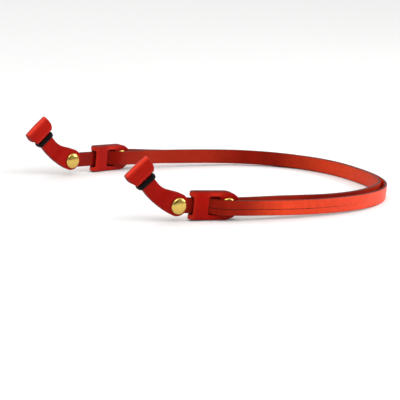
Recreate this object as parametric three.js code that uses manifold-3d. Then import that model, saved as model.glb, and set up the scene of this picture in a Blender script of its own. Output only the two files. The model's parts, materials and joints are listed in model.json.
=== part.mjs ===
// Leather eyeglass retainer strap, drawn up to its shortest.
//
// Two leather straps lie one inside the other round the back of the head. Each is riveted at its
// front end into a folded leather tab, which a rubber ring cinches round a spectacle temple. At its
// other end each strap is riveted between the leaves of a folded leather keeper, and the opposite
// strap runs through that keeper, so that the keepers slide to set the length.
//
// Millimetres. +X points to the back of the head, +Y to the wearer's right, +Z up. The strap stands
// on its lower edges, with the origin under the middle of its outline.

import * as THREE from 'three';
import { mergeVertices } from 'three/addons/utils/BufferGeometryUtils.js';
import Module from 'manifold-3d';

const wasm = await Module();
wasm.setup();

// ---- Driving dimensions ----

const LEATHER = 1.5; // thickness of every leather piece
const GAP = 0.3; // clearance between pieces that lie against each other

const STRAP_HEIGHT = 9;
const STAND_TILT = 1.44; // degrees, the loop leans back until the straps' rear edge is down too

// Where each side's tab rivet and keeper fold are, seen from above, and their turn in degrees.
const LEFT = { tabPlace: [0, -65], tabTurn: -4, keeperPlace: [7.2, -66], keeperTurn: -8 };
const RIGHT = { tabPlace: [0.2, 63], tabTurn: 6.5, keeperPlace: [16.4, 65.8], keeperTurn: 12.5 };

const KEEPER_HEIGHT = 16.2;
const KEEPER_RIVET = 23.1; // keeper distances are measured from its folded edge
const KEEPER_END = 10; // how far its round end reaches, measured from where it starts
const FOLD_SLOT_DEPTH = 1.9;
const WINDOW_START = 11.3;
const WINDOW_END = 17.6;
const SLOT_HEIGHT = 10.3;
const SLOT_CORNER = 1.2;

// Where a strap rises off the middle of the keeper, out of the window and over the rivet cap:
// how far behind the window's start, and what part of the full rise it has made.
const WINDOW_RISE = [[-0.6, 0], [1.2, 0.07], [4, 0.43], [6.6, 0.77], [9.2, 0.96]];
const PAST_RIVET = 5;
const RISE_PAST_RIVET = 1.07;

const TAB_TILT = 43; // degrees, the slope of the temple that the tab holds
const TAB_END_RADIUS = 6.6;
const TAB_END_RISE = 0.9; // the round end's centre sits a little above the rivet
const NECK_OFFSET = -5.8; // the neck's centre line runs beside the rivet
const NECK_WIDTH = 9;
const NECK_START = 16;
const NECK_END = 26;
const MOUTH_WIDTH = 12.2; // just above the ring, where the leather springs open
const MOUTH_HEIGHT = 27.2;
const FOLD_OFFSET = -5.1; // the fold sits a little behind the neck
const FOLD_WIDTH = 16.5;
const FOLD_HEIGHT = 35.6; // from the rivet to the outside of the fold over the temple
const TEMPLE_ROOM = 5.4; // inside width of the loop that takes the temple
const NECK_GAP = 0.9; // between the two leaves where the ring squeezes them
const ROUND_END_FROM = 215; // degrees about the round end's centre
const ROUND_END_TO = 375;

// Heights above the rivet at which the leaves change their distance, and the lengths of the
// handles of the curves between them.
const SPREAD_TOP = 8;
const SQUEEZE_START = 14;
const SQUEEZE_END = 26.1;
const LOOP_START = 28.3;
const SQUEEZE_HANDLE = 3;
const OPENING_HANDLE = 1.3;
const LOOP_HANDLE = 1.5;

const RING_HEIGHT = 24.4;
const RING_LENGTH = 3; // along the neck
const RING_THICKNESS = 1.7;
const RING_CORNER = 0.6;

const CAP_RADIUS = 4.7;
const CAP_RIM = 0.7;
const CAP_DOME = 0.8;
const SHANK_RADIUS = 1.6;
const SHANK_BORE = 1.1;
const POST_RADIUS = 0.8;
const ROUND_SIDES = 32;
const DOME_STEPS = 4;
const STRIP_STEPS = 4; // between two points of a strap's route

const STRAP_RED = 0xd7341e;
const INNER_STRAP_RED = 0xa01f08;
const KEEPER_RED = 0xbe2416;
const TAB_RED = 0xa01208;

// Routes of the two straps behind the keepers, [x, y], measured from between the tab rivets.
const LEFT_STRAP_BACK = [
  [47, -77.2], [66, -79], [87, -79.1], [109, -76.3], [131, -70], [151, -59], [166, -43.5],
  [174.4, -23.5], [176.6, -1.5], [174.4, 20.5], [165, 40], [148.6, 54.8], [129.1, 63.8],
  [107.8, 68.1], [86.4, 69.8], [66, 70.9],
];
const RIGHT_STRAP_BACK = [
  [65, 68], [86, 67.8], [107.6, 66.1], [128.5, 61.9], [147.5, 53.2], [163.4, 38.9],
  [172.3, 20.1], [174.6, -1.5], [172, -22.3], [163.3, -40.8], [148, -53.4], [132, -62],
  [116.5, -67], [98, -69.8], [81, -69.8], [65, -69.6], [50, -70.3],
];

// ---- Sizes that follow from them ----

const STACK_HALF = LEATHER / 2 + GAP + LEATHER; // strap between two leaves, from its middle outward
const LEAF_INSIDE = LEATHER / 2 + GAP;
const CAP_SEAT = STACK_HALF + GAP;
const KEEPER_RADIUS = KEEPER_HEIGHT / 2;
const KEEPER_LENGTH = KEEPER_RIVET + KEEPER_RADIUS;
const HOLE_RADIUS = SHANK_RADIUS + GAP;
const STRAP_OVER_KEEPER = CAP_SEAT + CAP_RIM + CAP_DOME + GAP + LEATHER / 2;
const NECK_LEFT = NECK_OFFSET - NECK_WIDTH / 2;
const NECK_RIGHT = NECK_OFFSET + NECK_WIDTH / 2;
const THROUGH = 4 * FOLD_WIDTH; // longer than any piece that is cut

// The curves from the round end up to the neck: two handles and an end point each, [across, up].
const REAR_SHOULDER = [4.3, 8, NECK_RIGHT + 0.3, NECK_START - 4.5, NECK_RIGHT, NECK_START + 3.5];
const FRONT_SHOULDER = [NECK_LEFT, NECK_START - 4.5, -7.3, 0.2, -5.4, TAB_END_RISE - 3.8];

const X = new THREE.Vector3(1, 0, 0);
const Y = new THREE.Vector3(0, 1, 0);
const Z = new THREE.Vector3(0, 0, 1);

// ---- Materials ----

const leather = (color) => new THREE.MeshStandardMaterial({ color, roughness: 0.45, metalness: 0 });
const brass = () => new THREE.MeshStandardMaterial({ color: 0xdcc868, roughness: 0.2, metalness: 1 });
const rubber = () => new THREE.MeshStandardMaterial({ color: 0x0a0f0c, roughness: 0.6, metalness: 0 });

// ---- Solids ----

function solidOf(geometry) {
  const bare = geometry.clone();
  bare.deleteAttribute('normal');
  bare.deleteAttribute('uv');
  const merged = mergeVertices(bare, 1e-4);
  return new wasm.Manifold(
    new wasm.Mesh({
      numProp: 3,
      vertProperties: merged.attributes.position.array,
      triVerts: Uint32Array.from(merged.index.array),
    }),
  );
}

function geometryOf(solid) {
  const mesh = solid.getMesh();
  const geometry = new THREE.BufferGeometry();
  geometry.setAttribute('position', new THREE.BufferAttribute(mesh.vertProperties, 3));
  geometry.setIndex(new THREE.BufferAttribute(mesh.triVerts, 1));
  geometry.computeVertexNormals();
  return geometry;
}

// A flat shape drawn along two axes and thickened evenly to both sides of them.
function slab(shape, across, up, thickness, curveSegments = 12) {
  const options = { depth: thickness, bevelEnabled: false, curveSegments };
  const geometry = new THREE.ExtrudeGeometry(shape, options);
  geometry.translate(0, 0, -thickness / 2);
  const normal = new THREE.Vector3().crossVectors(across, up);
  return geometry.applyMatrix4(new THREE.Matrix4().makeBasis(across, up, normal));
}

// A rod along Y, as every rivet hole is.
function rod(radius, length) {
  return new THREE.CylinderGeometry(radius, radius, length, ROUND_SIDES);
}

// ---- Straps ----

// The front end of a strap, riveted in its tab.
const TAB_STRETCH = [[-STRAP_HEIGHT / 2, 0], [STRAP_HEIGHT / 4, 0]];

// Through the opposite strap's keeper: straight to the window in its front leaf, then out through
// it and over the keeper's rivet.
const PASSING_STRETCH = [
  [STRAP_HEIGHT / 2, 0],
  ...WINDOW_RISE.map(([behind, part]) => [WINDOW_START + behind, -part * STRAP_OVER_KEEPER]),
  [KEEPER_RIVET, -STRAP_OVER_KEEPER],
  [KEEPER_RIVET + PAST_RIVET, -RISE_PAST_RIVET * STRAP_OVER_KEEPER],
];

// The back end of a strap, between the leaves of its own keeper, from its tip backward.
const ENDING_STRETCH = [
  [KEEPER_RIVET - STRAP_HEIGHT / 2, 0],
  [KEEPER_RIVET, 0],
  [KEEPER_RIVET + KEEPER_RADIUS / 2, 0],
  [KEEPER_LENGTH, 0],
];

function routePoints(route, group) {
  return route.map(([x, y]) => new THREE.Vector3(x, y, 0).applyMatrix4(group.matrix));
}

// A strip of leather on edge: its outline from above, thickened to the strap's height.
function strip(points) {
  const curve = new THREE.CatmullRomCurve3(points, false, 'centripetal');
  const steps = (points.length - 1) * STRIP_STEPS;
  const outside = [];
  const inside = [];
  for (let step = 0; step <= steps; step += 1) {
    const point = curve.getPoint(step / steps);
    const tangent = curve.getTangent(step / steps);
    const aside = new THREE.Vector2(-tangent.y, tangent.x).multiplyScalar(LEATHER / 2);
    outside.push(new THREE.Vector2(point.x - aside.x, point.y - aside.y));
    inside.push(new THREE.Vector2(point.x + aside.x, point.y + aside.y));
  }
  const outline = new THREE.Shape([...outside, ...inside.reverse()]);
  return solidOf(slab(outline, X, Y, STRAP_HEIGHT));
}

// What is cut away at a strap's end, in front of its rivet and through it: the corners round the
// half-circle tip, and the rivet's hole.
function endCut(matrix) {
  const corners = new THREE.BoxGeometry(STRAP_HEIGHT, 2 * STACK_HALF, 2 * STRAP_HEIGHT);
  corners.translate(-STRAP_HEIGHT / 2, 0, 0);
  const tip = rod(STRAP_HEIGHT / 2, THROUGH);
  const hole = rod(HOLE_RADIUS, 3 * STACK_HALF);
  const cut = solidOf(corners).subtract(solidOf(tip)).add(solidOf(hole));
  return solidOf(geometryOf(cut).applyMatrix4(matrix));
}

function strapBetween(start, back, end) {
  const atKeeperRivet = new THREE.Matrix4().makeTranslation(KEEPER_RIVET, 0, 0);
  const tabEnd = endCut(start.tab.matrix);
  const keeperEnd = endCut(atKeeperRivet.premultiply(end.keeper.matrix));
  const points = [
    ...routePoints(TAB_STRETCH, start.tab),
    ...routePoints(PASSING_STRETCH, start.keeper),
    ...back.map(([x, y]) => new THREE.Vector3(x, y, 0)),
    ...routePoints(ENDING_STRETCH, end.keeper).reverse(),
  ];
  return geometryOf(strip(points).subtract(tabEnd).subtract(keeperEnd));
}

// ---- Keeper ----

// Seen from above: two leaves joined by the fold at the front.
function keeperFold() {
  const back = KEEPER_LENGTH + KEEPER_RADIUS;
  const shape = new THREE.Shape();
  shape.moveTo(back, -STACK_HALF);
  shape.lineTo(back, -LEAF_INSIDE);
  shape.lineTo(STACK_HALF, -LEAF_INSIDE);
  shape.absarc(STACK_HALF, 0, LEAF_INSIDE, -Math.PI / 2, Math.PI / 2, true);
  shape.lineTo(back, LEAF_INSIDE);
  shape.lineTo(back, STACK_HALF);
  shape.lineTo(STACK_HALF, STACK_HALF);
  shape.absarc(STACK_HALF, 0, STACK_HALF, Math.PI / 2, -Math.PI / 2, false);
  return slab(shape, X, Y, KEEPER_HEIGHT);
}

// Seen from the side: square at the fold, round at the back.
function keeperOutline() {
  const front = -LEATHER;
  const shape = new THREE.Shape();
  shape.moveTo(front, -KEEPER_RADIUS);
  const endStart = KEEPER_LENGTH - KEEPER_END;
  shape.lineTo(endStart, -KEEPER_RADIUS);
  shape.absellipse(endStart, 0, KEEPER_END, KEEPER_RADIUS, -Math.PI / 2, Math.PI / 2, false);
  shape.lineTo(front, KEEPER_RADIUS);
  return slab(shape, X, Z, THROUGH);
}

function keeperWindow() {
  const top = SLOT_HEIGHT / 2;
  const corner = WINDOW_START + SLOT_CORNER;
  const shape = new THREE.Shape();
  shape.moveTo(corner, -top);
  shape.lineTo(WINDOW_END, -top);
  shape.lineTo(WINDOW_END, top);
  shape.lineTo(corner, top);
  shape.absarc(corner, top - SLOT_CORNER, SLOT_CORNER, Math.PI / 2, Math.PI, false);
  shape.absarc(corner, SLOT_CORNER - top, SLOT_CORNER, Math.PI, 1.5 * Math.PI, false);
  return slab(shape, X, Z, 2 * LEATHER).translate(0, -(LEAF_INSIDE + LEATHER / 2), 0);
}

function keeper() {
  const slot = new THREE.BoxGeometry(2 * FOLD_SLOT_DEPTH, THROUGH, SLOT_HEIGHT);
  const hole = rod(HOLE_RADIUS, THROUGH).translate(KEEPER_RIVET, 0, 0);
  return geometryOf(
    solidOf(keeperFold())
      .intersect(solidOf(keeperOutline()))
      .subtract(solidOf(slot))
      .subtract(solidOf(keeperWindow()))
      .subtract(solidOf(hole)),
  );
}

// ---- Temple tab, drawn upright with its fold on top ----

// Seen from the side: round end at the rivet, straight neck, wide fold.
function tabOutline() {
  const mouthLeft = NECK_OFFSET - MOUTH_WIDTH / 2;
  const mouthRight = NECK_OFFSET + MOUTH_WIDTH / 2;
  const foldLeft = FOLD_OFFSET - FOLD_WIDTH / 2;
  const foldRight = FOLD_OFFSET + FOLD_WIDTH / 2;
  const top = FOLD_HEIGHT + LEATHER;
  const endLeft = THREE.MathUtils.degToRad(ROUND_END_FROM);
  const endRight = THREE.MathUtils.degToRad(ROUND_END_TO);
  const shape = new THREE.Shape();
  shape.absarc(0, TAB_END_RISE, TAB_END_RADIUS, endLeft, endRight, false);
  shape.bezierCurveTo(...REAR_SHOULDER);
  shape.lineTo(NECK_RIGHT, NECK_END);
  shape.quadraticCurveTo(NECK_RIGHT, MOUTH_HEIGHT - 1, mouthRight, MOUTH_HEIGHT);
  shape.quadraticCurveTo(foldRight, MOUTH_HEIGHT + 2, foldRight, FOLD_HEIGHT - 3);
  shape.lineTo(foldRight, top);
  shape.lineTo(foldLeft, top);
  shape.lineTo(foldLeft, FOLD_HEIGHT - 3);
  shape.quadraticCurveTo(foldLeft, MOUTH_HEIGHT + 2, mouthLeft, MOUTH_HEIGHT);
  shape.quadraticCurveTo(NECK_LEFT, MOUTH_HEIGHT - 1, NECK_LEFT, NECK_END);
  shape.lineTo(NECK_LEFT, NECK_START + 2.5);
  shape.bezierCurveTo(...FRONT_SHOULDER);
  return slab(shape, X, Z, THROUGH);
}

// Seen edge on: one strip folded over the temple, its leaves squeezed together at the neck and
// spread again round the strap's end.
function tabFold() {
  const loop = TEMPLE_ROOM / 2;
  const neck = NECK_GAP / 2;
  const centre = FOLD_HEIGHT - LEATHER - loop;
  const foot = -2 * TAB_END_RADIUS;
  const shape = new THREE.Shape();
  // One face of one leaf: where it runs beside the strap, at the neck, and round the temple.
  const face = (side, offset) => [LEAF_INSIDE, neck, loop].map((inside) => side * (inside + offset));
  const rise = (side, offset) => {
    const [lower, middle, upper] = face(side, offset);
    const from = SPREAD_TOP + SQUEEZE_HANDLE;
    shape.lineTo(lower, SPREAD_TOP);
    shape.bezierCurveTo(lower, from, middle, SQUEEZE_START - SQUEEZE_HANDLE, middle, SQUEEZE_START);
    shape.lineTo(middle, SQUEEZE_END);
    shape.bezierCurveTo(
      middle, SQUEEZE_END + OPENING_HANDLE, upper, LOOP_START - LOOP_HANDLE, upper, LOOP_START,
    );
    shape.lineTo(upper, centre);
  };
  const fall = (side, offset) => {
    const [lower, middle, upper] = face(side, offset);
    const to = SPREAD_TOP + SQUEEZE_HANDLE;
    shape.lineTo(upper, LOOP_START);
    shape.bezierCurveTo(
      upper, LOOP_START - LOOP_HANDLE, middle, SQUEEZE_END + OPENING_HANDLE, middle, SQUEEZE_END,
    );
    shape.lineTo(middle, SQUEEZE_START);
    shape.bezierCurveTo(middle, SQUEEZE_START - SQUEEZE_HANDLE, lower, to, lower, SPREAD_TOP);
    shape.lineTo(lower, foot);
  };
  shape.moveTo(-STACK_HALF, foot);
  rise(-1, LEATHER);
  shape.absarc(0, centre, loop + LEATHER, Math.PI, 0, true);
  fall(1, LEATHER);
  shape.lineTo(LEAF_INSIDE, foot);
  rise(1, 0);
  shape.absarc(0, centre, loop, 0, Math.PI, false);
  fall(-1, 0);
  return slab(shape, Y, Z, THROUGH);
}

function templeTab() {
  const hole = rod(HOLE_RADIUS, THROUGH);
  return geometryOf(
    solidOf(tabFold()).intersect(solidOf(tabOutline())).subtract(solidOf(hole)),
  );
}

// ---- Cinch ring ----

function roundedLoop(path, halfWidth, halfDepth, corner) {
  const across = halfWidth - corner;
  const deep = halfDepth - corner;
  path.absarc(across, -deep, corner, -Math.PI / 2, 0, false);
  path.absarc(across, deep, corner, 0, Math.PI / 2, false);
  path.absarc(-across, deep, corner, Math.PI / 2, Math.PI, false);
  path.absarc(-across, -deep, corner, Math.PI, 1.5 * Math.PI, false);
  path.closePath();
  return path;
}

// A rubber ring drawn out flat round the tab's neck, with its edges rounded off.
function cinchRing() {
  const halfWidth = NECK_WIDTH / 2 + GAP;
  const halfDepth = NECK_GAP / 2 + LEATHER + GAP;
  const wide = halfWidth + RING_THICKNESS;
  const deep = halfDepth + RING_THICKNESS;
  const rounding = 0.4 * RING_THICKNESS;
  const shape = roundedLoop(new THREE.Shape(), wide, deep, RING_CORNER + RING_THICKNESS);
  shape.holes.push(roundedLoop(new THREE.Path(), halfWidth, halfDepth, RING_CORNER));
  const geometry = new THREE.ExtrudeGeometry(shape, {
    depth: RING_LENGTH - 2 * rounding,
    bevelThickness: rounding,
    bevelSize: rounding,
    bevelOffset: -rounding,
    bevelSegments: 2,
    curveSegments: 6,
  });
  return geometry.translate(0, 0, rounding - RING_LENGTH / 2);
}

// ---- Rivets, along Y ----

function domePoints(direction) {
  const seat = direction * CAP_SEAT;
  const points = [];
  for (let step = 0; step <= DOME_STEPS; step += 1) {
    const out = step / DOME_STEPS;
    const height = CAP_RIM + CAP_DOME * (1 - out ** 2);
    points.push(new THREE.Vector2(CAP_RADIUS * out, seat + direction * height));
  }
  return points;
}

// The outer cap, which carries the tubular shank.
function rivetCap() {
  const points = [
    ...domePoints(-1),
    new THREE.Vector2(CAP_RADIUS, -CAP_SEAT),
    new THREE.Vector2(SHANK_RADIUS, -CAP_SEAT),
    new THREE.Vector2(SHANK_RADIUS, STACK_HALF),
    new THREE.Vector2(SHANK_BORE, STACK_HALF),
    new THREE.Vector2(SHANK_BORE, -STACK_HALF),
    new THREE.Vector2(0, -STACK_HALF),
  ];
  return new THREE.LatheGeometry(points, ROUND_SIDES);
}

// The inner cap, whose post is set inside the shank.
function rivetPost() {
  const points = [
    new THREE.Vector2(0, GAP - STACK_HALF),
    new THREE.Vector2(POST_RADIUS, GAP - STACK_HALF),
    new THREE.Vector2(POST_RADIUS, CAP_SEAT),
    new THREE.Vector2(CAP_RADIUS, CAP_SEAT),
    ...domePoints(1).reverse(),
  ];
  return new THREE.LatheGeometry(points, ROUND_SIDES);
}

// ---- Assembly ----

function piece(name, geometry, material) {
  const mesh = new THREE.Mesh(geometry, material);
  mesh.name = name;
  return mesh;
}

function rivet(name) {
  const group = new THREE.Group();
  group.add(piece(`${name}_rivet_cap`, rivetCap(), brass()));
  group.add(piece(`${name}_rivet_post`, rivetPost(), brass()));
  return group;
}

// The tab and its ring, tilted about the rivet to hold a temple above the strap.
function tiltedTab(name) {
  const group = new THREE.Group();
  group.rotation.y = THREE.MathUtils.degToRad(-TAB_TILT);
  group.add(piece(`${name}_temple_tab`, templeTab(), leather(TAB_RED)));
  const ring = piece(`${name}_cinch_ring`, cinchRing(), rubber());
  ring.position.set(NECK_OFFSET, 0, RING_HEIGHT);
  group.add(ring);
  return group;
}

function placed([x, y], turn) {
  const group = new THREE.Group();
  group.position.set(x, y, 0);
  group.rotation.z = THREE.MathUtils.degToRad(turn);
  group.updateMatrix();
  return group;
}

// One side: the tab with its rivet, and the keeper with its rivet, each turned as the strap runs.
function frontEnd(name, { tabPlace, tabTurn, keeperPlace, keeperTurn }) {
  const tab = placed(tabPlace, tabTurn);
  tab.add(tiltedTab(name), rivet(`${name}_tab`));
  const slider = placed(keeperPlace, keeperTurn);
  const keeperRivet = rivet(`${name}_keeper`);
  keeperRivet.position.x = KEEPER_RIVET;
  slider.add(piece(`${name}_keeper`, keeper(), leather(KEEPER_RED)), keeperRivet);
  return { tab, keeper: slider };
}

const left = frontEnd('left', LEFT);
const right = frontEnd('right', RIGHT);
const leftRoute = strapBetween(left, LEFT_STRAP_BACK, right);
const rightRoute = strapBetween(right, RIGHT_STRAP_BACK, left);
const leftStrap = piece('left_strap', leftRoute, leather(STRAP_RED));
const rightStrap = piece('right_strap', rightRoute, leather(INNER_STRAP_RED));

const loop = new THREE.Group();
loop.add(left.tab, left.keeper, right.tab, right.keeper, leftStrap, rightStrap);
loop.rotation.y = THREE.MathUtils.degToRad(STAND_TILT);
const bounds = new THREE.Box3().setFromObject(loop, true);
const middle = bounds.getCenter(new THREE.Vector3());
loop.position.set(-middle.x, -middle.y, -bounds.min.z);

const retainer = new THREE.Group();
retainer.add(loop);

export default retainer;
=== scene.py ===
# The looks of the leather eyeglass retainer strap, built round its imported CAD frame.
#
# Every leather piece is made the way the real one is cut: an outline in the flat, given rounded
# edges, and then folded into place. Sizes are in millimetres and become metres at the very end.

import json
import math

import bmesh
import bpy
import numpy as np
from mathutils import Matrix, Vector
from mathutils.geometry import delaunay_2d_cdt


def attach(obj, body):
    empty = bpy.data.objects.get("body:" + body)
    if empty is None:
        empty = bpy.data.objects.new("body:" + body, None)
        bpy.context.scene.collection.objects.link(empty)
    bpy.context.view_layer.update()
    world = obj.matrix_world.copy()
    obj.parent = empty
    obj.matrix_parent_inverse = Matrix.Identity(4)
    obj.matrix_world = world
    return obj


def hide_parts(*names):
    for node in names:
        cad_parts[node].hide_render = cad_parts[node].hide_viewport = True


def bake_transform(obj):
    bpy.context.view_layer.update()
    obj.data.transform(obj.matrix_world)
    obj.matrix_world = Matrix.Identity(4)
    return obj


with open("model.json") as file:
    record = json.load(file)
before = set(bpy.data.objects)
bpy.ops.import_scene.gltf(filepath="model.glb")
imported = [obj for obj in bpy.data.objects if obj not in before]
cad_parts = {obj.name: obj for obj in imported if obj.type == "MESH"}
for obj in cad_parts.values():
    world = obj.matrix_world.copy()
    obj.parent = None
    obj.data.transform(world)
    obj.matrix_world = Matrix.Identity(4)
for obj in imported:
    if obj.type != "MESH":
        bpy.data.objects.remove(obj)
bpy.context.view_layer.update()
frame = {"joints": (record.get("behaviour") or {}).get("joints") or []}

MM = 0.001

# ---- Sizes shared with the CAD, in millimetres ----

LEATHER = 1.5
HALF = LEATHER / 2
GAP = 0.3
STRAP_HEIGHT = 9
STAND_TILT = 1.44
LEFT = {"tab": (0, -65), "tab_turn": -4, "keeper": (7.2, -66), "keeper_turn": -8}
RIGHT = {"tab": (0.2, 63), "tab_turn": 6.5, "keeper": (16.4, 65.8), "keeper_turn": 12.5}

KEEPER_HEIGHT = 16.2
KEEPER_RADIUS = KEEPER_HEIGHT / 2
KEEPER_RIVET = 23.1
KEEPER_LENGTH = KEEPER_RIVET + KEEPER_RADIUS
KEEPER_END = 10
FOLD_SLOT_DEPTH = 1.9
WINDOW_START = 11.3
WINDOW_END = 17.6
SLOT_HEIGHT = 10.3

TAB_TILT = 43
TAB_END_RADIUS = 6.6
TAB_END_RISE = 0.9
NECK_OFFSET = -5.8
NECK_WIDTH = 9
NECK_START = 16
NECK_END = 26
MOUTH_WIDTH = 12.2
MOUTH_HEIGHT = 27.2
FOLD_OFFSET = -5.1
FOLD_WIDTH = 16.5
FOLD_HEIGHT = 35.6
TEMPLE_ROOM = 5.4
NECK_GAP = 0.9
RING_HEIGHT = 24.4
RING_LENGTH = 3
RING_THICKNESS = 1.7

CAP_RADIUS = 4.7
SHANK_RADIUS = 1.6
SHANK_BORE = 1.1
POST_RADIUS = 0.8

LEAF_INSIDE = HALF + GAP
LEAF_MIDDLE = LEAF_INSIDE + HALF
STACK_HALF = LEAF_INSIDE + LEATHER
STRAP_OVER_KEEPER = 5.4

WINDOW_RISE = [(-0.6, 0), (1.2, 0.07), (4, 0.43), (6.6, 0.77), (9.2, 0.96)]
LEFT_STRAP_BACK = [
    (47, -77.2), (66, -79), (87, -79.1), (109, -76.3), (131, -70), (151, -59), (166, -43.5),
    (174.4, -23.5), (176.6, -1.5), (174.4, 20.5), (165, 40), (148.6, 54.8), (129.1, 63.8),
    (107.8, 68.1), (86.4, 69.8), (66, 70.9),
]
RIGHT_STRAP_BACK = [
    (65, 68), (86, 67.8), (107.6, 66.1), (128.5, 61.9), (147.5, 53.2), (163.4, 38.9),
    (172.3, 20.1), (174.6, -1.5), (172, -22.3), (163.3, -40.8), (148, -53.4), (132, -62),
    (116.5, -67), (98, -69.8), (81, -69.8), (65, -69.6), (50, -70.3),
]

# ---- Fineness of the meshes, in millimetres ----

RIM_STEP = 0.45  # along a cut edge
FACE_STEP = 0.9  # across a flat face
STRAP_STEP = 1.1  # along a strap

# ---- Details too fine for the CAD, in millimetres ----

EDGE_ROUND = 0.5  # the burnished rounding of a cut edge
CREASE_DROP = -0.85  # the strap's tooled line, below its middle
CREASE_DEPTH = 0.16
CREASE_HALF_WIDTH = 0.26
CREASE_START = 12  # from the strap's ends
CREASE_EASE = 8
CREASE_FADE = 70  # behind the tab rivets, and the distance over which the line then fades
PRESS_DEPTH = 0.16  # the dent that a rivet's cap presses round itself
PRESS_WIDTH = 1.3
KEEPER_NIP = 0.2  # how much a keeper narrows at its fold
KEEPER_SWELL = 0.22  # how far the strap inside it pushes a keeper's leaves out
KEEPER_CURL = 0.12  # how far a keeper's long edges turn in
RING_BITE = 0.06  # how far the stretched rubber sinks into the leather
MOULD_LINE = 0.05
OUTER_DROP = 0.57  # how far the outer strap has settled in the play of the keeper's window
# How pale a strap is painted, from 0 to 1, at distances behind the tab rivets; this is partly pull-up
# paling and partly painted light and shade. The outer strap's grain side stays dark between the tab and
# the keeper, and pales from the keepers back, partly pulled pale and partly as painted light, lightest
# towards the back of the loop. The inner one's grain side, covered by the outer strap, is kept dark
# along most of its length as painted shade, and painted lighter at the back. The flesh side of either
# is palest where it bends, partly paling and partly painted light.
GRAIN_PALING_AND_LIGHT = [(0, 0), (38, 0.12), (50, 0.44), (64, 0.72), (90, 0.62), (125, 0.7), (176, 0.76)]
INNER_GRAIN_LIGHT_AND_SHADE = [
    (0, 0), (40, 0.1), (52, 0.22), (74, 0.18), (92, 0.05), (125, 0.06), (145, 0.24), (176, 0.7),
]
FLESH_PALING_AND_LIGHT = [
    (0, 0), (34, 0), (60, 0.2), (105, 0.17), (132, 0.03), (150, 0.08), (163, 0.4), (176, 0.78),
]


# ---- Places ----

def turn_y(degrees):
    c, s = math.cos(math.radians(degrees)), math.sin(math.radians(degrees))
    return np.array([[c, 0, s], [0, 1, 0], [-s, 0, c]])


def turn_z(degrees):
    c, s = math.cos(math.radians(degrees)), math.sin(math.radians(degrees))
    return np.array([[c, -s, 0], [s, c, 0], [0, 0, 1]])


class Place:
    """A turned and shifted set of axes, in millimetres."""

    def __init__(self, turn, shift):
        self.turn, self.shift = turn, np.array(shift, float)

    def at(self, points):
        return np.asarray(points, float) @ self.turn.T + self.shift

    def within(self, turn, shift=(0, 0, 0)):
        return Place(self.turn @ turn, self.at(shift))


JOINTS = {joint["name"]: joint for joint in frame["joints"]}
LOOP_TURN = turn_y(STAND_TILT)
LEFT_TAB_RIVET = np.array(JOINTS["left_tab_swivel"]["pos_m"]) / MM
LOOP = Place(LOOP_TURN, LEFT_TAB_RIVET - LOOP_TURN @ np.array([*LEFT["tab"], 0.0]))


def side_places(side):
    tab = Place(turn_z(side["tab_turn"]), (*side["tab"], 0))
    keeper = Place(turn_z(side["keeper_turn"]), (*side["keeper"], 0))
    in_world = [LOOP.within(place.turn, place.shift) for place in (tab, keeper)]
    return {"tab": tab, "keeper": keeper, "tab_world": in_world[0], "keeper_world": in_world[1]}


PLACES = {"left": side_places(LEFT), "right": side_places(RIGHT)}


# ---- Small curves ----

def bezier(a, b, c, d, count=12):
    """Points of a cubic curve after its first point."""
    a, b, c, d = (np.array(p, float) for p in (a, b, c, d))
    t = np.linspace(0, 1, count + 1)[1:, None]
    return a * (1 - t) ** 3 + 3 * b * t * (1 - t) ** 2 + 3 * c * t**2 * (1 - t) + d * t**3


def quadratic(a, b, c, count=8):
    a, b, c = (np.array(p, float) for p in (a, b, c))
    t = np.linspace(0, 1, count + 1)[1:, None]
    return a * (1 - t) ** 2 + 2 * b * t * (1 - t) + c * t**2


def arc(centre, radius, start, end, count=24):
    angles = np.radians(np.linspace(start, end, count + 1))
    return np.array(centre) + radius * np.stack([np.cos(angles), np.sin(angles)], -1)


def rounded_box(low, high, corner):
    """A rectangle with round corners, anticlockwise."""
    (x0, y0), (x1, y1) = low, high
    corners = [(x1 - corner, y1 - corner, 0), (x0 + corner, y1 - corner, 90),
               (x0 + corner, y0 + corner, 180), (x1 - corner, y0 + corner, 270)]
    return np.concatenate([arc((x, y), corner, start, start + 90, 6) for x, y, start in corners])


def resampled(loop, step):
    """A closed loop with even spacing."""
    closed = np.vstack([loop, loop[:1]])
    run = np.concatenate([[0], np.cumsum(np.linalg.norm(np.diff(closed, axis=0), axis=1))])
    count = max(12, round(run[-1] / step))
    at = np.linspace(0, run[-1], count, endpoint=False)
    return np.stack([np.interp(at, run, closed[:, k]) for k in range(2)], -1)


def smooth_step(value):
    """0 up to 0, 1 from 1 on, and a smooth rise between."""
    value = np.clip(value, 0, 1)
    return value * value * (3 - 2 * value)


def hill(distance, width):
    """1 at no distance, falling smoothly to almost nothing at twice the width."""
    return np.exp(-(distance / width) ** 2)


# ---- Meshes ----

def make_object(name, points, faces, material, marks=None, sharp_over=50):
    """A closed mesh, points in millimetres, with a number per vertex for each mark."""
    mesh = bpy.data.meshes.new(name)
    mesh.from_pydata([tuple(p) for p in np.asarray(points) * MM], [], faces)
    for mark, values in (marks or {}).items():
        layer = mesh.attributes.new(mark, "FLOAT", "POINT")
        layer.data.foreach_set("value", np.asarray(values, np.float32))
    built = bmesh.new()
    built.from_mesh(mesh)
    bmesh.ops.recalc_face_normals(built, faces=built.faces)
    limit = math.radians(sharp_over)
    for edge in built.edges:
        edge.smooth = len(edge.link_faces) == 2 and edge.calc_face_angle(0) < limit
    for face in built.faces:
        face.smooth = True
    built.to_mesh(mesh)
    built.free()
    mesh.materials.append(material)
    made = bpy.data.objects.new(name, mesh)
    bpy.context.scene.collection.objects.link(made)
    return made


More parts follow.
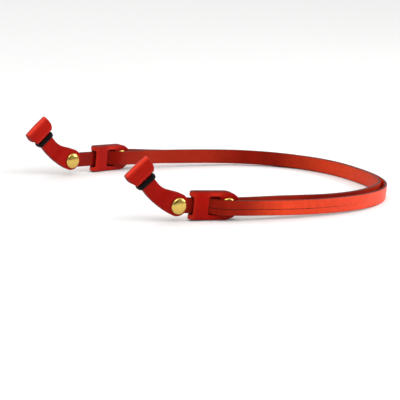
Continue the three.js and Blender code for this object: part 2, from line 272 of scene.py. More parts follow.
def swept(rings, closed=False):
    """Points and faces of a surface through rings of the same number of points."""
    rings = np.asarray(rings)
    count, around = rings.shape[:2]
    faces = []
    for i in range(count if closed else count - 1):
        here, there = i * around, (i + 1) % count * around
        for j in range(around):
            k = (j + 1) % around
            faces.append((here + j, here + k, there + k, there + j))
    if not closed:
        faces.append(tuple(range(around))[::-1])
        faces.append(tuple((count - 1) * around + j for j in range(around)))
    return rings.reshape(-1, 3), faces


# ---- A piece of leather cut from the flat ----

def inward(loop, hole):
    """Unit steps from a loop into the leather beside it."""
    along = np.roll(loop, -1, 0) - np.roll(loop, 1, 0)
    along /= np.linalg.norm(along, axis=1)[:, None]
    left = np.stack([-along[:, 1], along[:, 0]], -1)
    return -left if hole else left


def inside(points, loop):
    """Which points are inside a loop."""
    x, y = points[:, 0][:, None], points[:, 1][:, None]
    x0, y0 = loop[:, 0], loop[:, 1]
    x1, y1 = np.roll(x0, -1), np.roll(y0, -1)
    crosses = (y0 > y) != (y1 > y)
    rise = np.where(y1 == y0, 1, y1 - y0)
    return (crosses & (x < (x1 - x0) * (y - y0) / rise + x0)).sum(1) % 2 == 1


def clear_of(points, loops, distance):
    keep = np.ones(len(points), bool)
    for loop in loops:
        for start in range(0, len(points), 2000):
            some = points[start:start + 2000]
            gaps = np.linalg.norm(some[:, None] - loop[None], axis=2).min(1)
            keep[start:start + 2000] &= gaps > distance
    return keep


def edge_profile():
    """How far in from a cut edge, and how far from mid-thickness, its rounding runs, top to bottom."""
    angles = np.radians(np.linspace(0, 90, 5))
    inset = EDGE_ROUND * (1 - np.sin(angles))
    height = HALF - EDGE_ROUND * (1 - np.cos(angles))
    top = np.stack([inset, height], -1)
    return np.vstack([top, top[::-1] * [1, -1]])


def on_leather(points, inner):
    """Which points are on a piece of leather, from the loops just inside its cut edges."""
    keep = inside(points, inner[0])
    for hole in inner[1:]:
        keep &= ~inside(points, hole)
    return keep


def filled(inner, grid):
    """A flat face between loops, with a grid's points in it: the points, the triangles, and which
    of the points given each one came from."""
    constraints, start = [], 0
    for loop in inner:
        constraints += [(start + j, start + (j + 1) % len(loop)) for j in range(len(loop))]
        start += len(loop)
    everything = [Vector(p) for p in np.vstack([*inner, grid])]
    placed, _, triangles, origins, _, _ = delaunay_2d_cdt(everything, constraints, [], 0, 1e-7)
    placed = np.array(placed)
    wanted = on_leather(placed[np.array(triangles)].mean(1), inner)
    return placed, [triangle for triangle, use in zip(triangles, wanted) if use], origins


def cut_leather(name, outline, holes, rows, fold, material, shade):
    """One piece of leather. rows are the places along it where its faces may curve, fold takes flat
    points and their heights to millimetres in the frame, and shade says how pale each point is
    painted, partly as pull-up paling and partly as painted highlights."""
    loops = [resampled(outline, RIM_STEP)] + [resampled(hole, RIM_STEP) for hole in holes]
    steps = [inward(loop, index > 0) for index, loop in enumerate(loops)]
    profile = edge_profile()
    flat, heights, edges, faces, rims = [], [], [], [], []
    for loop, step in zip(loops, steps):
        first = len(flat)
        for inset, height in profile:
            flat.extend(loop + step * inset)
            heights.extend([height] * len(loop))
            edges.extend([1 - inset / EDGE_ROUND] * len(loop))
        count = len(loop)
        rims.append((first, first + (len(profile) - 1) * count, count))
        for level in range(len(profile) - 1):
            for j in range(count):
                k = (j + 1) % count
                a = first + level * count
                faces.append((a + j, a + k, a + count + k, a + count + j))
    inner = [loop + step * EDGE_ROUND for loop, step in zip(loops, steps)]
    across = np.arange(outline[:, 1].min(), outline[:, 1].max(), FACE_STEP)
    grid = np.array([(s, t) for s in rows for t in across])
    grid = grid[on_leather(grid, inner)]
    grid = grid[clear_of(grid, inner, 0.6 * RIM_STEP)]
    placed, triangles, origins = filled(inner, grid)
    for side, sign in ((0, 1), (1, -1)):
        on_rim = {}
        start = 0
        for rim, loop in zip(rims, inner):
            for j in range(rim[2]):
                on_rim[start + j] = rim[side] + j
            start += len(loop)
        index = []
        for number, point in enumerate(placed):
            known = [on_rim[o] for o in origins[number] if o in on_rim]
            if known:
                index.append(known[0])
            else:
                index.append(len(flat))
                flat.append(point)
                heights.append(sign * HALF)
                edges.append(0)
        for triangle in triangles:
            face = tuple(index[corner] for corner in triangle)
            faces.append(face if sign > 0 else face[::-1])
    used = sorted({corner for face in faces for corner in face})
    renumbered = {old: new for new, old in enumerate(used)}
    faces = [tuple(renumbered[corner] for corner in face) for face in faces]
    flat, heights, edges = np.array(flat)[used], np.array(heights)[used], np.array(edges)[used]
    marks = {"cut": edges, "pale_and_lit": shade(flat)}
    return make_object(name, fold(flat, heights), faces, material, marks)


# ---- Materials ----

def linear(red, green, blue):
    """A colour given as it looks on screen, 0 to 255, as light."""
    parts = [c / 255 for c in (red, green, blue)]
    return (*[c / 12.92 if c <= 0.04045 else ((c + 0.055) / 1.055) ** 2.4 for c in parts], 1)


class Nodes:
    """Short words for making a material's nodes."""

    def __init__(self, name):
        self.material = bpy.data.materials.new(name)
        self.material.use_nodes = True
        self.tree = self.material.node_tree
        self.shader = self.tree.nodes["Principled BSDF"]
        self.place = self.add("ShaderNodeTexCoord").outputs["Object"]

    def add(self, kind, **settings):
        node = self.tree.nodes.new(kind)
        for key, value in settings.items():
            setattr(node, key, value)
        return node

    def link(self, source, target):
        self.tree.links.new(source, target)

    def noise(self, scale, detail=3, roughness=0.5):
        node = self.add("ShaderNodeTexNoise")
        self.link(self.place, node.inputs["Vector"])
        node.inputs["Scale"].default_value = scale
        node.inputs["Detail"].default_value = detail
        node.inputs["Roughness"].default_value = roughness
        return node.outputs["Fac"]

    def cells(self, scale):
        node = self.add("ShaderNodeTexVoronoi", feature="SMOOTH_F1")
        self.link(self.place, node.inputs["Vector"])
        node.inputs["Scale"].default_value = scale
        return node.outputs["Distance"]

    def mark(self, name):
        return self.add("ShaderNodeAttribute", attribute_name=name).outputs["Fac"]

    def spread(self, source, low, high, to_low=0.0, to_high=1.0):
        node = self.add("ShaderNodeMapRange")
        self.link(source, node.inputs["Value"])
        ends = (("From Min", low), ("From Max", high), ("To Min", to_low), ("To Max", to_high))
        for socket, value in ends:
            node.inputs[socket].default_value = value
        return node.outputs["Result"]

    def sum(self, first, second, operation="ADD"):
        node = self.add("ShaderNodeMath", operation=operation)
        for socket, value in zip(node.inputs, (first, second)):
            if isinstance(value, (int, float)):
                socket.default_value = value
            else:
                self.link(value, socket)
        return node.outputs[0]

    def mix(self, amount, first, second):
        node = self.add("ShaderNodeMix", data_type="RGBA")
        self.link(amount, node.inputs["Factor"])
        for socket, value in ((node.inputs[6], first), (node.inputs[7], second)):
            if isinstance(value, tuple):
                socket.default_value = value
            else:
                self.link(value, socket)
        return node.outputs[2]

    def bump(self, heights):
        """Bumps, each a height source and its depth in metres, laid over one another."""
        normal = None
        for source, depth in heights:
            node = self.add("ShaderNodeBump")
            node.inputs["Strength"].default_value = 1
            node.inputs["Distance"].default_value = depth
            self.link(source, node.inputs["Height"])
            if normal is not None:
                self.link(normal, node.inputs["Normal"])
            normal = node.outputs["Normal"]
        self.link(normal, self.shader.inputs["Normal"])

    def finish(self, colour, roughness, **sockets):
        self.link(colour, self.shader.inputs["Base Color"])
        self.link(roughness, self.shader.inputs["Roughness"])
        for name, value in sockets.items():
            self.shader.inputs[name.replace("_", " ")].default_value = value
        return self.material


def leather_material(name, deep, main, pale_lit_colour, edge_dye):
    """Waxed, dyed-through leather: mottled where the wax has moved, fine grained, and with burnished,
    darker cut edges. Where the paleness mark is high it turns to a pale colour, partly as pull-up
    paling at its bends and partly as painted light and painted highlights; where the mark stays low
    the deeper tone stands as painted shade. A strap's tooled line takes the dark edge colour as
    painted shade in its groove."""
    n = Nodes(name)
    mottle = n.spread(n.noise(55, 5, 0.6), 0.32, 0.7)
    patches = n.spread(n.noise(310, 4, 0.65), 0.35, 0.75, 0, 0.45)
    body = n.mix(mottle, deep, main)
    body = n.mix(patches, body, main)
    # The paleness mark mixes in the pale colour: partly pull-up paling, partly painted light and painted
    # highlights.
    pale_and_lit_amount = n.sum(n.mark("pale_and_lit"), n.spread(n.noise(300, 3), 0.3, 0.7, 0.86, 1.04), "MULTIPLY")
    body = n.mix(pale_and_lit_amount, body, pale_lit_colour)
    pores = n.cells(2100)
    body = n.mix(n.spread(pores, 0.55, 0.85, 0, 0.22), body, deep)
    edge = n.sum(n.mark("cut"), n.spread(n.noise(900, 4), 0.3, 0.7, 0.7, 1.15), "MULTIPLY")
    colour = n.mix(n.spread(edge, 0.3, 0.8, 0, 0.94), body, edge_dye)
    roughness = n.spread(n.sum(n.noise(700, 4), n.sum(mottle, 0.25, "MULTIPLY")), 0.3, 1.0, 0.36, 0.56)
    n.bump([
        (n.noise(260, 3), 0.00012),
        (pores, 0.000035),
        (n.noise(4200, 2), 0.00002),
    ])
    return n.finish(colour, roughness, Specular_IOR_Level=0.32, Specular_Tint=(1, 0.2, 0.14, 1))


def brass_material():
    """Polished brass with hair scratches, and tarnish low round the rim."""
    n = Nodes("rivet_brass")
    stain = n.spread(n.noise(900, 5, 0.6), 0.45, 0.75, 0, 0.4)
    colour = n.mix(stain, linear(216, 184, 96), linear(178, 142, 60))
    colour = n.mix(n.spread(n.mark("cut"), 0.5, 1, 0, 0.75), colour, linear(120, 84, 34))
    roughness = n.spread(n.noise(1600, 4), 0.3, 0.75, 0.13, 0.27)
    n.bump([(n.noise(450, 2), 0.000012), (n.noise(5200, 3), 0.000004)])
    return n.finish(colour, roughness, Metallic=1.0)


def rubber_material():
    """Matt black rubber, dusted grey where it has been handled."""
    n = Nodes("ring_rubber")
    dust = n.spread(n.noise(650, 5, 0.65), 0.45, 0.8, 0, 0.55)
    colour = n.mix(dust, linear(3, 3, 4), linear(10, 10, 11))
    roughness = n.spread(n.noise(1300, 4), 0.3, 0.7, 0.38, 0.58)
    n.bump([(n.noise(1500, 4), 0.00003)])
    return n.finish(colour, roughness, Specular_IOR_Level=0.09)


EDGE_DYE = linear(26, 6, 5)
TAB_EDGE_DYE = linear(112, 10, 6)
# The third colour of each leather is the pale, lit colour that the paleness mark mixes in: partly
# pull-up paling and partly painted light and painted highlights.
STRAP_LEATHER = leather_material(
    "strap_leather", linear(104, 6, 1), linear(136, 11, 2), linear(255, 80, 42), EDGE_DYE)
KEEPER_LEATHER = leather_material(
    "keeper_leather", linear(138, 5, 1), linear(168, 9, 1), linear(240, 66, 42), EDGE_DYE)
TAB_LEATHER = leather_material(
    "tab_leather", linear(134, 4, 1), linear(162, 7, 1), linear(255, 70, 50), TAB_EDGE_DYE)
BRASS = brass_material()
RUBBER = rubber_material()


# ---- Straps ----

def smooth_route(points):
    """Points close together on a centripetal Catmull-Rom curve, the curve that the CAD follows."""
    points = [np.array(p, float) for p in points]
    points = [2 * points[0] - points[1], *points, 2 * points[-1] - points[-2]]
    route = []
    for p0, p1, p2, p3 in zip(points, points[1:], points[2:], points[3:]):
        knots = [max(np.linalg.norm(b - a), 1e-6) ** 0.5 for a, b in ((p0, p1), (p1, p2), (p2, p3))]
        t0, t1, t2 = knots
        m1 = ((p1 - p0) / t0 - (p2 - p0) / (t0 + t1) + (p2 - p1) / t1) * t1
        m2 = ((p2 - p1) / t1 - (p3 - p1) / (t1 + t2) + (p3 - p2) / t2) * t1
        t = np.linspace(0, 1, 40, endpoint=False)[:, None]
        cubic = (2 * t**3 - 3 * t**2 + 1) * p1 + (t**3 - 2 * t**2 + t) * m1
        route.extend(cubic + (3 * t**2 - 2 * t**3) * p2 + (t**3 - t**2) * m2)
    return np.array([*route, points[-2]])


def strap_section():
    """The strap cut across, [thickness, height], anticlockwise, and what each point is."""
    half = STRAP_HEIGHT / 2
    low, high = -half + EDGE_ROUND, half - EDGE_ROUND
    crease = [CREASE_DROP + CREASE_HALF_WIDTH * d for d in (-2.2, -1, -0.5, 0, 0.5, 1, 2.2)]
    levels = sorted({*np.round(np.linspace(low, high, 9), 3), *crease})
    corner = np.radians(np.linspace(0, 90, 5))[1:-1]
    points = [(HALF, z) for z in levels]
    points += [(HALF - EDGE_ROUND * (1 - math.cos(a)), high + EDGE_ROUND * math.sin(a)) for a in corner]
    points += [(HALF - EDGE_ROUND, half), (0, half), (EDGE_ROUND - HALF, half)]
    points += [(-HALF + EDGE_ROUND * (1 - math.sin(a)), high + EDGE_ROUND * math.cos(a)) for a in corner]
    points += [(-HALF, z) for z in reversed(levels)]
    points += [(EDGE_ROUND * (1 - math.cos(a)) - HALF, low - EDGE_ROUND * math.sin(a)) for a in corner]
    points += [(EDGE_ROUND - HALF, -half), (0, -half), (HALF - EDGE_ROUND, -half)]
    points += [(HALF - EDGE_ROUND * (1 - math.sin(a)), low - EDGE_ROUND * math.cos(a)) for a in corner]
    return np.array(points)


def unevenness(distance):
    """How far hand-cut leather strays sideways, and how much its height varies, along its length."""
    aside = 0.05 * math.sin(distance / 17) + 0.03 * math.sin(distance / 6.3 + 1)
    return aside, 1 + 0.012 * math.sin(distance / 23 + 2)


def settling(at, length, place, drop):
    """How far a strap has sunk at each place along it. It is still level at the rivets at its two
    ends, and at the back of the loop it is already standing on the floor."""
    free = drop * np.minimum(np.interp(at, (8, 22, 45, 70), (0, 0.8, 0.8, 1)),
                             np.interp(length - at, (12, 45), (0, 1)))
    lowest = np.column_stack([place, np.full(len(at), -1.02 * STRAP_HEIGHT / 2)])
    return np.clip(free, 0, np.maximum(LOOP.at(lowest)[:, 2], 0))


def strap_rings(route, grain, grain_light_and_paling, drop):
    """Rings all the way along a strap, in the loop's own axes, with how dark each point is at its cut
    edges and tooled line, and how pale it is painted, partly as paling and partly as painted light and
    shade.
    grain is 1 where the strap's smooth outer side is on the right of its route, and -1 on the left."""
    run = np.concatenate([[0], np.cumsum(np.linalg.norm(np.diff(route, axis=0), axis=1))])
    length = run[-1]
    ends = (STRAP_HEIGHT / 2) * (1 - np.cos(np.linspace(0.12, math.pi / 2, 9)))
    middle = np.linspace(ends[-1], length - ends[-1], round(length / STRAP_STEP))[1:-1]
    at = np.concatenate([ends, middle, length - ends[::-1]])
    place = np.stack([np.interp(at, run, route[:, k]) for k in range(2)], -1)
    along = np.stack([np.interp(at, run, np.gradient(route[:, k], run)) for k in range(2)], -1)
    along /= np.linalg.norm(along, axis=1)[:, None]
    aside = grain * np.stack([along[:, 1], -along[:, 0]], -1)
    section = strap_section()
    half = STRAP_HEIGHT / 2
    from_end = np.minimum(at, length - at)
    scale = np.sqrt(np.clip(1 - (1 - np.clip(from_end / half, 0, 1)) ** 2, 0.0004, 1))
    behind = place[:, 0]
    # The tables give pull-up paling mixed with painted light and painted shade.
    grain_lit_paleness = np.interp(behind, *zip(*grain_light_and_paling))
    flesh_lit_paleness = np.interp(behind, *zip(*FLESH_PALING_AND_LIGHT))
    settled = settling(at, length, place, drop)
    groove = hill(section[:, 1] - CREASE_DROP, CREASE_HALF_WIDTH) * CREASE_DEPTH
    begun = smooth_step((from_end - CREASE_START) / CREASE_EASE)
    faded = 1 - 0.6 * smooth_step((behind - CREASE_FADE) / CREASE_FADE)
    outer_face = section[:, 0] > HALF - 0.01
    over_edge = np.abs(section[:, 1]) - (half - EDGE_ROUND)
    rings, cut, lit_paleness = [], [], []
    for number, distance in enumerate(at):
        depth = groove * begun[number] * faded[number]
        thickness = section[:, 0] - depth * outer_face
        wander, stretch = unevenness(distance)
        height = section[:, 1] * scale[number] * stretch
        ring = place[number] + aside[number] * (thickness + wander)[:, None]
        rings.append(np.column_stack([ring, height - settled[number]]))
        # The tooled line's groove is darkened with the dark edge colour: painted shade in the crease.
        cut.append(np.maximum(np.clip(over_edge / EDGE_ROUND, 0, 1), 6 * depth * outer_face))
        lit_paleness.append(np.where(section[:, 0] > 0, grain_lit_paleness[number], flesh_lit_paleness[number]))
    return at, np.array(rings), np.array(cut), np.array(lit_paleness)


def strap_route(start, back, end):
    passing = [(STRAP_HEIGHT / 2, 0)]
    passing += [(WINDOW_START + behind, -part * STRAP_OVER_KEEPER) for behind, part in WINDOW_RISE]
    passing += [(KEEPER_RIVET, -STRAP_OVER_KEEPER), (KEEPER_RIVET + 5, -1.07 * STRAP_OVER_KEEPER)]
    ending = [KEEPER_RIVET - STRAP_HEIGHT / 2, KEEPER_RIVET, KEEPER_RIVET + KEEPER_RADIUS / 2,
              KEEPER_LENGTH]
    local = [(start["tab"], [(-STRAP_HEIGHT / 2, 0), (STRAP_HEIGHT / 4, 0)]),
             (start["keeper"], passing)]
    points = [place.at([x, y, 0])[:2] for place, route in local for x, y in route]
    points += back
    points += [end["keeper"].at([x, 0, 0])[:2] for x in reversed(ending)]
    return smooth_route(points)


SEAM_IN_KEEPER = 8  # where a strap's front and back pieces meet, out of sight in the keeper
STILL = 100  # how far behind a keeper's fold the strap no longer moves with it; only the lengths' listing below holds it, and nothing reads that


def start_gap(side):
    """From a side's tab rivet to the front of its keeper."""
    chosen = LEFT if side == "left" else RIGHT
    return math.dist(chosen["tab"], chosen["keeper"]) - STRAP_HEIGHT / 2


def add_strap(name, back, near, far, grain, grain_light_and_paling, drop):
    """One strap, in three lengths that meet inside the keeper and at the back of the loop. Each length
    is listed with the keeper next to it and the places between which it would follow it, but nothing
    reads these and no length is attached to a body. drop is how far it has settled."""
    start, end = PLACES[near], PLACES[far]
    route = strap_route(start, back, end)
    at, rings, cut, lit_paleness = strap_rings(route, grain, grain_light_and_paling, drop)
    middles = rings.mean(1)
    seam = start["keeper"].at([SEAM_IN_KEEPER, 0, 0])
    first = int(np.argmin(np.linalg.norm(middles - seam, axis=1)))
    second = int(np.argmax(middles[:, 0]))
    world = LOOP.at(rings.reshape(-1, 3)).reshape(rings.shape)
    keeper, other = f"{near}_keeper", f"{far}_keeper"
    world_keeper, world_other = start["keeper_world"], end["keeper_world"]
    parts = [
        ("front", 0, first, "straps", keeper,
         world_keeper.at([2 - start_gap(near), 0, 0]), world_keeper.at([SEAM_IN_KEEPER - 2, 0, 0])),
        ("back", first, second, keeper, "straps",
         world_keeper.at([KEEPER_LENGTH, 0, 0]), world_keeper.at([STILL, 0, 0])),
        ("end", second, len(at) - 1, "straps", other,
         world_other.at([STILL, 0, 0]), world_other.at([KEEPER_LENGTH, 0, 0])),
    ]
    for part, low, high, body_a, body_b, begins, ends in parts:
        points, faces = swept(world[low:high + 1])
        marks = {"cut": cut[low:high + 1].ravel(), "pale_and_lit": lit_paleness[low:high + 1].ravel()}
        piece = make_object(f"{name}_{part}", points, faces, STRAP_LEATHER, marks)
        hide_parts(name)
        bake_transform(piece)


# ---- Keepers ----

def add_keeper(side):
    place = PLACES[side]["keeper_world"]
    fold_run = LEAF_MIDDLE * math.pi / 2
    shift = fold_run - STACK_HALF  # from distance behind the fold to distance along the leather
    rear = KEEPER_RIVET + shift
    tail = KEEPER_LENGTH + shift
    straight = tail - KEEPER_END
    side_edge = np.linspace(-straight, straight, 90)
    end = arc((0, 0), 1, -90, 90)[1:-1] * [KEEPER_END, KEEPER_RADIUS]
    half_height = KEEPER_RADIUS - KEEPER_NIP * hill(side_edge, 2.2)
    outline = np.vstack([
        np.stack([side_edge, -half_height], -1),
        end + [straight, 0],
        np.stack([side_edge, half_height], -1)[::-1],
        -end - [straight, 0],
    ])
    top = SLOT_HEIGHT / 2
    slot_run = LEAF_MIDDLE * math.acos((STACK_HALF - FOLD_SLOT_DEPTH) / LEAF_MIDDLE)
    slot = rounded_box((-slot_run, -top), (slot_run, top), 1)
    window = rounded_box((-WINDOW_END - shift, -top), (-WINDOW_START - shift, top), 1.2)
    fine = np.arange(-fold_run - 1, fold_run + 1, 0.4)
    leaf = np.arange(fold_run + 1.5, tail, FACE_STEP)
    rows = np.concatenate([-leaf[::-1], fine, leaf])

    def fold(flat, height):
        s, t = flat[:, 0], flat[:, 1]
        sign = np.sign(s) + (s == 0)
        angle = np.clip(s, -fold_run, fold_run) / LEAF_MIDDLE
        from_rivet = np.hypot(np.abs(s) - rear, t)
        press = PRESS_DEPTH * hill(from_rivet - CAP_RADIUS, PRESS_WIDTH)
        swell = KEEPER_SWELL * smooth_step((np.abs(s) - fold_run) / 4) * np.exp(-(t / 5.6) ** 6)
        swell *= 1 - smooth_step((np.abs(s) - 9) / 3)
        level = np.abs(t) / KEEPER_RADIUS
        curl = -KEEPER_CURL * level**3 * smooth_step((np.abs(s) - fold_run) / 3)
        # The height's outer side is the outside of the fold.
        out = LEAF_MIDDLE + height + np.where(height > 0, swell + curl - press, 0)
        over = np.abs(s) > fold_run
        x = np.where(over, STACK_HALF + np.abs(s) - fold_run, STACK_HALF - out * np.cos(angle))
        y = np.where(over, sign * out, out * np.sin(angle))
        z = t * np.ones_like(s)
        return place.at(np.stack([x, y, z], -1))

    def shade(flat):
        s, t = flat[:, 0], flat[:, 1]
        # Paler at the fold, partly pull-up paling and partly a painted highlight, with a painted
        # highlight band on the leaf above the window.
        fold_paling_and_highlight = hill(s, 2.4)
        highlight_above_window = hill(np.abs(s) - 15.5, 5) * hill(t - 6.6, 1.3)
        return 0.55 * fold_paling_and_highlight + 0.4 * highlight_above_window

    piece = cut_leather(f"{side}_keeper_leather", outline, [slot, window], rows, fold,
                        KEEPER_LEATHER, shade)
    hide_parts(f"{side}_keeper")
    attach(piece, f"{side}_keeper")


# ---- Temple tabs ----

def tab_fold_line():
    """The middle of the tab's leather seen edge on, [distance from the strap's plane, height], from
    the front leaf's foot over the temple, as far as the top of the fold."""
    neck = NECK_GAP / 2 + HALF
    wide = TEMPLE_ROOM / 2 + HALF
    ridge = 1.7  # the leather narrows to this as it turns over the temple
    centre = FOLD_HEIGHT - HALF - ridge
    foot = TAB_END_RISE - TAB_END_RADIUS - 1
    line = np.vstack([
        [(LEAF_MIDDLE, foot), (LEAF_MIDDLE, 8)],
        bezier((LEAF_MIDDLE, 8), (LEAF_MIDDLE, 11), (neck, 11), (neck, 14)),
        [(neck, NECK_END)],
        bezier((neck, NECK_END), (neck, 27.3), (wide, 26.8), (wide, 28.5)),
        bezier((wide, 28.5), (wide, 30.2), (ridge + 0.35, 31), (ridge, centre)),
        arc((0, centre), ridge, 0, 90),
    ])
    return line


def tab_side_outline():
    """The tab seen from the side, [across, height], from the right of its fold down round the
    rivet and up to the left of its fold."""
    neck_left, neck_right = NECK_OFFSET - NECK_WIDTH / 2, NECK_OFFSET + NECK_WIDTH / 2
    mouth_left, mouth_right = NECK_OFFSET - MOUTH_WIDTH / 2, NECK_OFFSET + MOUTH_WIDTH / 2
    fold_left, fold_right = FOLD_OFFSET - FOLD_WIDTH / 2, FOLD_OFFSET + FOLD_WIDTH / 2
    full, flare, spring = FOLD_HEIGHT - 3, MOUTH_HEIGHT + 2, MOUTH_HEIGHT - 1
    ends = arc((0, TAB_END_RISE), TAB_END_RADIUS, 375, 215)
    return np.vstack([
        [(fold_right, full)],
        quadratic((fold_right, full), (fold_right, flare), (mouth_right, MOUTH_HEIGHT)),
        quadratic((mouth_right, MOUTH_HEIGHT), (neck_right, spring), (neck_right, NECK_END)),
        bezier((neck_right, NECK_START + 3.5), (neck_right + 0.3, NECK_START - 4.5), (4.3, 8), ends[0]),
        ends[1:],
        bezier(ends[-1], (-7.3, 0.2), (neck_left, NECK_START - 4.5), (neck_left, NECK_START + 2.5)),
        quadratic((neck_left, NECK_END), (neck_left, spring), (mouth_left, MOUTH_HEIGHT)),
        quadratic((mouth_left, MOUTH_HEIGHT), (fold_left, flare), (fold_left, full)),
    ])


def add_tab(side):
    place = PLACES[side]["tab_world"].within(turn_y(-TAB_TILT))
    line = tab_fold_line()
    run = np.concatenate([[0], np.cumsum(np.linalg.norm(np.diff(line, axis=0), axis=1))])
    run = run[-1] - run  # distance along the leather down from the top of the fold
    down_line = line[::-1]
    down_run = run[::-1]
    shape = tab_side_outline()
    order = np.argsort(line[:, 1])
    down = np.interp(shape[:, 1], line[order, 1], run[order])
    near = np.stack([down, shape[:, 0]], -1)
    outline = np.vstack([near * [-1, 1], near[::-1]])
    fine = np.arange(0, 12, 0.5)
    coarse = np.arange(12.4, run.max(), 0.8)
    rows = np.concatenate([-coarse[::-1], -fine[:0:-1], fine, coarse])
    ring_run = float(np.interp(RING_HEIGHT, line[order, 1], run[order]))

    def fold(flat, height):
        s, t = flat[:, 0], flat[:, 1]
        sign = np.sign(s) + (s == 0)
        distance = np.abs(s)
        y = np.interp(distance, down_run, down_line[:, 0])
        u = np.interp(distance, down_run, down_line[:, 1])
        little = 0.15
        ahead = [np.interp(distance + little, down_run, down_line[:, k]) for k in (0, 1)]
        behind = [np.interp(np.maximum(distance - little, 0), down_run, down_line[:, k]) for k in (0, 1)]
        along = np.stack([ahead[0] - behind[0], ahead[1] - behind[1]], -1)
        along /= np.maximum(np.linalg.norm(along, axis=1), 1e-9)[:, None]
        outward = np.stack([-along[:, 1], along[:, 0]], -1)
        outward[distance < little] = (0, 1)
        # Leather gathered by the ring ripples as it opens out of it.
        from_ring = ring_run - distance
        ripple = 0.2 * np.cos((t - NECK_OFFSET) * 1.9) * hill(from_ring - 3.3, 1.4)
        crown = 0.25 * hill(distance, 5) * np.cos((t - FOLD_OFFSET) / FOLD_WIDTH * math.pi)
        from_rivet = np.hypot(t, u)
        press = PRESS_DEPTH * hill(from_rivet - CAP_RADIUS, PRESS_WIDTH) * (distance > 20)
        lift = height + ripple + crown - 0.1 - press * (height > 0)
        y = (y + outward[:, 0] * lift) * sign
        u = u + outward[:, 1] * lift
        return place.at(np.stack([t, y, u], -1))

    def shade(flat):
        s = flat[:, 0]
        # A painted highlight along the ridge of the fold, with some pull-up paling, and the bell above
        # the ring painted a little lighter as painted light.
        fold_paling_and_highlight = hill(s + 0.9, 0.8)
        lit_bell_face = 0.1 * smooth_step((ring_run - np.abs(s) - 1.5) / 3)
        return lit_bell_face + 0.8 * fold_paling_and_highlight

    piece = cut_leather(f"{side}_tab_leather", outline, [], rows, fold, TAB_LEATHER, shade)
    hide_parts(f"{side}_temple_tab")
    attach(piece, f"{side}_tab")


# ---- Cinch rings ----

def add_ring(side):
    """A moulded rubber ring pulled out flat round the neck, with the faint line its mould left."""
    tab = PLACES[side]["tab_world"].within(turn_y(-TAB_TILT))
    place = tab.within(np.eye(3), (NECK_OFFSET, 0, RING_HEIGHT))
    half_width = NECK_WIDTH / 2 + RING_THICKNESS / 2 - RING_BITE
    half_depth = NECK_GAP / 2 + LEATHER + RING_THICKNESS / 2 - RING_BITE
    path = resampled(rounded_box((-half_width, -half_depth), (half_width, half_depth), 1.7), 0.5)
    outward = -inward(path, False)
    around = np.radians(np.arange(0, 360, 360 / 28))

    def rounded(part):
        """A circle's coordinate made a little squarer, as pressed rubber is."""
        return np.sign(part) * np.abs(part) ** 0.82

    rings = []
    for number, (point, out) in enumerate(zip(path, outward)):
        mould_line = MOULD_LINE * hill(np.minimum(around, 2 * math.pi - around), 0.12)
        reach = rounded(np.cos(around)) * (RING_THICKNESS / 2) + mould_line
        height = rounded(np.sin(around)) * (RING_LENGTH / 2)
        height = height + 0.12 * math.sin(4 * math.pi * number / len(path))
        flat = point + out * reach[:, None]
        rings.append(np.column_stack([flat, height]))
    points, faces = swept(place.at(np.array(rings).reshape(-1, 3)).reshape(len(rings), -1, 3), True)
    piece = make_object(f"{side}_ring_rubber", points, faces, RUBBER)
    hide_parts(f"{side}_cinch_ring")
    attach(piece, f"{side}_ring")


# ---- Rivets ----

CAP_PROFILE = [  # radius, height above the leather, and how tarnished
    (0, 1.62, 0), (0.8, 1.6, 0), (1.6, 1.53, 0), (2.4, 1.42, 0), (3.1, 1.27, 0), (3.6, 1.12, 0),
    (4, 0.96, 0), (4.3, 0.8, 0), (4.52, 0.62, 0), (4.66, 0.44, 0.1), (4.7, 0.28, 0.3),
    (4.66, 0.13, 0.7), (4.52, 0.02, 1), (4.2, -0.04, 1), (3.6, -0.04, 1),
]


def turned(name, place, profile, material, side):
    """A turned piece round the rivet's line. side is -1 for the outer cap and 1 for the inner."""
    sides = 72
    angles = np.linspace(0, 2 * math.pi, sides, endpoint=False)
    points, marks = [], []
    for radius, height, tarnish in profile:
        rows = 1 if radius == 0 else sides
        for a in angles[:rows]:
            points.append((radius * math.cos(a), height * side, radius * math.sin(a)))
            marks.append(tarnish)
    faces, start = [], 0
    for (r0, _, _), (r1, _, _) in zip(profile, profile[1:]):
        here = 1 if r0 == 0 else sides
        there = 1 if r1 == 0 else sides
        after = start + here
        for j in range(sides):
            k = (j + 1) % sides
            if here == 1:
                faces.append((start, after + j, after + k))
            elif there == 1:
                faces.append((start + j, after, start + k))
            else:
                faces.append((start + j, after + j, after + k, start + k))
        start = after
    return make_object(name, place.at(points), faces, material, {"cut": marks}, 42)


def add_rivet(side, what, place, body):
    seat = STACK_HALF - 0.12
    cap = [(r, h + seat, t) for r, h, t in CAP_PROFILE]
    outer = cap + [(SHANK_RADIUS, seat - 0.04, 1), (SHANK_RADIUS, -STACK_HALF, 1),
                   (SHANK_BORE, -STACK_HALF, 1), (SHANK_BORE, STACK_HALF, 1), (0, STACK_HALF, 1)]
    inner = cap + [(POST_RADIUS, seat - 0.04, 1), (POST_RADIUS, GAP - STACK_HALF, 1),
                   (0, GAP - STACK_HALF, 1)]
    for node, profile, direction in (("cap", outer, -1), ("post", inner, 1)):
        name = f"{side}_{what}_rivet_{node}"
        piece = turned(f"{name}_brass", place, profile, BRASS, direction)
        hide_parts(name)
        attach(piece, body)


# ---- The object ----

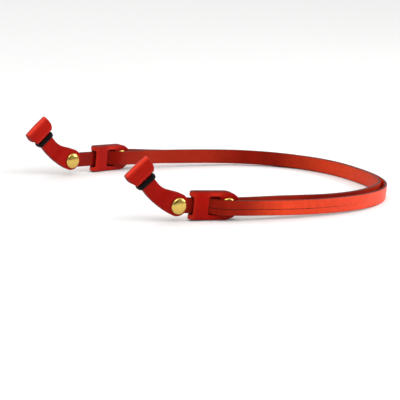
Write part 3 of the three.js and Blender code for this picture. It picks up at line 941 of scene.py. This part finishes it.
for side in ("left", "right"):
    add_tab(side)
    add_ring(side)
    add_keeper(side)
    add_rivet(side, "tab", PLACES[side]["tab_world"], "straps")
    keeper_rivet = PLACES[side]["keeper_world"].within(np.eye(3), (KEEPER_RIVET, 0, 0))
    add_rivet(side, "keeper", keeper_rivet, f"{side}_keeper")
add_strap("left_strap", LEFT_STRAP_BACK, "left", "right", 1, GRAIN_PALING_AND_LIGHT, OUTER_DROP)
add_strap("right_strap", RIGHT_STRAP_BACK, "right", "left", -1, INNER_GRAIN_LIGHT_AND_SHADE, 0)


# ---- Floor, light and camera ----

def add_floor():
    mesh = bpy.data.meshes.new("floor")
    reach = 6
    mesh.from_pydata([(-reach, -reach, 0), (reach, -reach, 0), (reach, reach, 0), (-reach, reach, 0)],
                     [], [(0, 1, 2, 3)])
    floor = bpy.data.objects.new("floor", mesh)
    paint = bpy.data.materials.new("floor_paint")
    paint.use_nodes = True
    shader = paint.node_tree.nodes["Principled BSDF"]
    shader.inputs["Base Color"].default_value = (0.93, 0.93, 0.925, 1)
    shader.inputs["Roughness"].default_value = 0.9
    shader.inputs["Specular IOR Level"].default_value = 0.1
    mesh.materials.append(paint)
    bpy.context.scene.collection.objects.link(floor)


def add_light(name, place, aim, size, watts):
    light = bpy.data.lights.new(name, "AREA")
    light.shape = "RECTANGLE"
    light.size, light.size_y = size
    light.energy = watts
    lamp = bpy.data.objects.new(name, light)
    lamp.location = place
    lamp.rotation_euler = (Vector(aim) - Vector(place)).to_track_quat("-Z", "Y").to_euler()
    bpy.context.scene.collection.objects.link(lamp)


def add_sky_light():
    """A very wide lamp overhead, as even over the whole floor as a studio's ceiling."""
    light = bpy.data.lights.new("sky", "SUN")
    light.energy = 1.7
    light.angle = math.radians(110)
    lamp = bpy.data.objects.new("sky", light)
    lamp.rotation_euler = (math.radians(-14), math.radians(12), 0)
    bpy.context.scene.collection.objects.link(lamp)


def add_room():
    """Pale walls all round, but for the dark end of the room behind the camera, which is what the
    brass reflects."""
    world = bpy.data.worlds.new("studio")
    world.use_nodes = True
    tree = world.node_tree
    facing = tree.nodes.new("ShaderNodeTexCoord")
    dark_end = tree.nodes.new("ShaderNodeVectorMath")
    dark_end.operation = "DOT_PRODUCT"
    dark_end.inputs[1].default_value = (-0.06, -0.94, 0.33)
    tone = tree.nodes.new("ShaderNodeMapRange")
    ends = (("From Min", 0.93), ("From Max", 0.985), ("To Min", 0.4), ("To Max", 0.02))
    for socket, value in ends:
        tone.inputs[socket].default_value = value
    tree.links.new(facing.outputs["Generated"], dark_end.inputs[0])
    tree.links.new(dark_end.outputs["Value"], tone.inputs["Value"])
    tree.links.new(tone.outputs["Result"], tree.nodes["Background"].inputs["Strength"])
    tree.nodes["Background"].inputs["Color"].default_value = (1, 1, 1, 1)
    bpy.context.scene.world = world


def add_camera():
    """The picture's viewpoint: azimuth, elevation and roll in degrees, and place in metres."""
    azimuth, elevation, roll = (math.radians(a) for a in (-33.053, 12.327, 4.057))
    back = Vector((math.sin(azimuth) * math.cos(elevation),
                   -math.cos(azimuth) * math.cos(elevation), math.sin(elevation)))
    right = Vector((math.cos(azimuth), math.sin(azimuth), 0))
    up = back.cross(right)
    rolled_right = right * math.cos(roll) + up * math.sin(roll)
    rolled_up = up * math.cos(roll) - right * math.sin(roll)
    data = bpy.data.cameras.new("camera")
    data.sensor_width = 36
    data.lens = 139.34
    data.clip_start = 0.01
    camera = bpy.data.objects.new("camera", data)
    turn = Matrix((rolled_right, rolled_up, back)).transposed().to_4x4()
    camera.matrix_world = Matrix.Translation((-0.51915, -0.77302, 0.19632)) @ turn
    bpy.context.scene.collection.objects.link(camera)
    bpy.context.scene.camera = camera


add_floor()
add_light("key", (-0.3, -0.8, 0.8), (0, 0, 0.02), (0.7, 0.7), 3.4)
add_light("side", (0.85, -0.5, 0.45), (0.05, 0, 0.02), (0.5, 0.4), 5.6)
add_sky_light()
add_room()
add_camera()
bpy.context.scene.view_settings.view_transform = "Standard"
